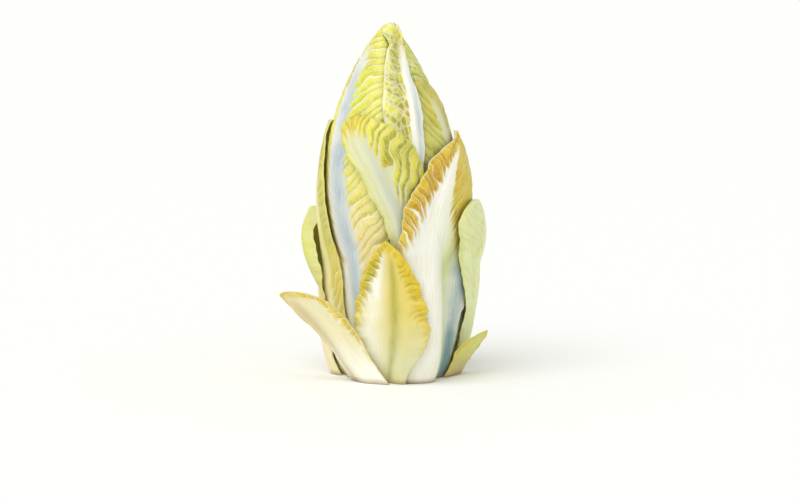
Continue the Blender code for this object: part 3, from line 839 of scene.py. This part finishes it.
def make_flesh_group():
    """Colour, roughness and relief of a leaf from its fields."""
    group = bpy.data.node_groups.new("leaf flesh", "ShaderNodeTree")
    for name in COLOUR_INPUTS:
        group.interface.new_socket(name, in_out="INPUT", socket_type="NodeSocketColor")
    for name in VALUE_INPUTS:
        group.interface.new_socket(name, in_out="INPUT", socket_type="NodeSocketFloat")
    group.interface.new_socket("Color", in_out="OUTPUT", socket_type="NodeSocketColor")
    group.interface.new_socket("Roughness", in_out="OUTPUT", socket_type="NodeSocketFloat")
    group.interface.new_socket("Relief", in_out="OUTPUT", socket_type="NodeSocketFloat")
    given = group.nodes.new("NodeGroupInput").outputs
    spot = read_spot(group)
    lines = draw_lines(group, given, spot)
    bladed = blade_share(group, given, spot)
    pale = blend(group, 0.3, given["Rib Tip"], given["Blade Tip"])
    blade = blade_colour(group, given, spot, lines, pale)
    colour = blend(group, bladed, rib_colour(group, given, spot), blade)
    colour = edged(group, given, spot, lines, pale, colour)
    dry = calc(group, "ADD", spot.fine_streaks, calc(group, "MULTIPLY", lines, 0.2))
    result = group.nodes.new("NodeGroupOutput").inputs
    plug(group, browned(group, spot, colour), result["Color"])
    plug(group, fade(group, dry, 0.2, 0.9, 0.38, 0.52), result["Roughness"])
    plug(group, relief(group, spot, lines, bladed), result["Relief"])
    return group


FLESH = make_flesh_group()
print("nodes in the flesh group:", len(FLESH.nodes))

# %% [markdown]
# ## Dressing the leaves
#
# Forced leaves are full of water. Light goes into them and comes out a little further on, so the shader
# gets a little subsurface light, and a thin wet coat for the soft gleam. Those are the same all over, so
# they are set on the shader. What changes over the leaf comes from the group.

# %% Make the materials and place the pieces
def flesh_material(name):
    """The material of one leaf: the flesh group with this leaf's colours, into one shader."""
    dress = DRESSES[name]
    material = bpy.data.materials.new(name.replace("_", " "))
    material.use_nodes = True
    tree = material.node_tree
    shader = tree.nodes["Principled BSDF"]
    flesh = add_node(tree, "ShaderNodeGroup", node_tree=FLESH)
    colours = dress.rib + dress.blade + (dress.deep, dress.mottle, dress.edge)
    # shade_paint and shade carry the band of painted shade on the midrib
    colours = colours + (dress.shade_paint, dress.tint_paint)
    values = dress.edge_band + (dress.vein, dress.net, dress.deep_share, dress.prong)
    values = values + dress.shade + dress.tint
    for key, value in zip(COLOUR_INPUTS + VALUE_INPUTS, colours + values):
        flesh.inputs[key].default_value = value
    bump = add_node(tree, "ShaderNodeBump")
    bump.inputs["Strength"].default_value = 0.5
    bump.inputs["Distance"].default_value = 0.0003
    plug(tree, flesh.outputs["Relief"], bump.inputs["Height"])
    plug(tree, flesh.outputs["Color"], shader.inputs["Base Color"])
    plug(tree, flesh.outputs["Roughness"], shader.inputs["Roughness"])
    plug(tree, bump.outputs["Normal"], shader.inputs["Normal"])
    shader.inputs["Subsurface Weight"].default_value = 0.22
    shader.inputs["Subsurface Radius"].default_value = (1.0, 0.9, 0.35)
    shader.inputs["Subsurface Scale"].default_value = 0.0016
    shader.inputs["Specular IOR Level"].default_value = 0.3
    shader.inputs["Coat Weight"].default_value = 0.05
    shader.inputs["Coat Roughness"].default_value = 0.3
    return material


for name, mesh in skins.items():
    mesh.materials.append(flesh_material(name))
    piece = bpy.data.objects.new(name + "_skin", mesh)
    bpy.context.scene.collection.objects.link(piece)
    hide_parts(name)
    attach(piece, "root")
print("dressed pieces:", len(skins))

# %% [markdown]
# ## Floor, light and camera
#
# The head was drawn in even daylight. A pale floor, a bright sky from all sides and one large soft lamp
# from the upper left keep that look, with just enough shadow between the leaves to part them. The camera
# stands far back with a long lens and looks slightly down, which is how the head was drawn. The sky is seen
# brighter than it shines, so that it stays as pale as the floor behind the head.

# %% Floor and light
FLOOR_WHITE = paint(246, 246, 243)
FLOOR_DROP = 0.0002
LAMP_SPREAD = 50.0
SKY_LIGHT = 0.69
SKY_SEEN = 0.98


def make_floor(half):
    """A wide flat square under the head."""
    corners = [(-half, -half, 0.0), (half, -half, 0.0), (half, half, 0.0), (-half, half, 0.0)]
    mesh = bpy.data.meshes.new("floor")
    mesh.from_pydata(corners, [], [(0, 1, 2, 3)])
    material = bpy.data.materials.new("pale floor")
    material.use_nodes = True
    material.node_tree.nodes["Principled BSDF"].inputs["Base Color"].default_value = FLOOR_WHITE
    material.node_tree.nodes["Principled BSDF"].inputs["Roughness"].default_value = 0.9
    mesh.materials.append(material)
    floor = bpy.data.objects.new("floor", mesh)
    floor.location.z = -FLOOR_DROP
    bpy.context.scene.collection.objects.link(floor)


def make_sun(strength, height, turn):
    """One soft lamp far away: so high above the floor, and turned so far to the left of the camera."""
    data = bpy.data.lights.new("lamp", "SUN")
    data.energy = strength
    data.angle = math.radians(LAMP_SPREAD)
    lamp = bpy.data.objects.new("lamp", data)
    lamp.rotation_euler = (math.radians(90.0 - height), 0.0, -math.radians(turn))
    bpy.context.scene.collection.objects.link(lamp)


make_floor(half=6.0)
make_sun(strength=1.55, height=56.0, turn=32.0)
world = bpy.data.worlds.new("daylight")
world.use_nodes = True
sky = world.node_tree.nodes["Background"]
sky.inputs["Color"].default_value = (1.0, 1.0, 1.0, 1.0)
seen = add_node(world.node_tree, "ShaderNodeLightPath").outputs["Is Camera Ray"]
plug(world.node_tree, fade(world.node_tree, seen, 0.0, 1.0, SKY_LIGHT, SKY_SEEN), sky.inputs["Strength"])
bpy.context.scene.world = world
bpy.context.scene.view_settings.view_transform = "Standard"

# %% Camera
DISTANCE = 1.2
ELEVATION = math.radians(7.0)
VIEW_WIDTH = 0.339
SENSOR = 36.0
AIM = (0.00275, 0.0, 0.0529)

camera_data = bpy.data.cameras.new("camera")
camera_data.sensor_width = SENSOR
camera_data.lens = SENSOR * DISTANCE / VIEW_WIDTH
camera = bpy.data.objects.new("camera", camera_data)
camera.location = (AIM[0], AIM[1] - DISTANCE * math.cos(ELEVATION), AIM[2] + DISTANCE * math.sin(ELEVATION))
camera.rotation_euler = (math.pi / 2.0 - ELEVATION, 0.0, 0.0)
bpy.context.scene.collection.objects.link(camera)
bpy.context.scene.camera = camera
print("lens in mm:", round(camera_data.lens, 1))
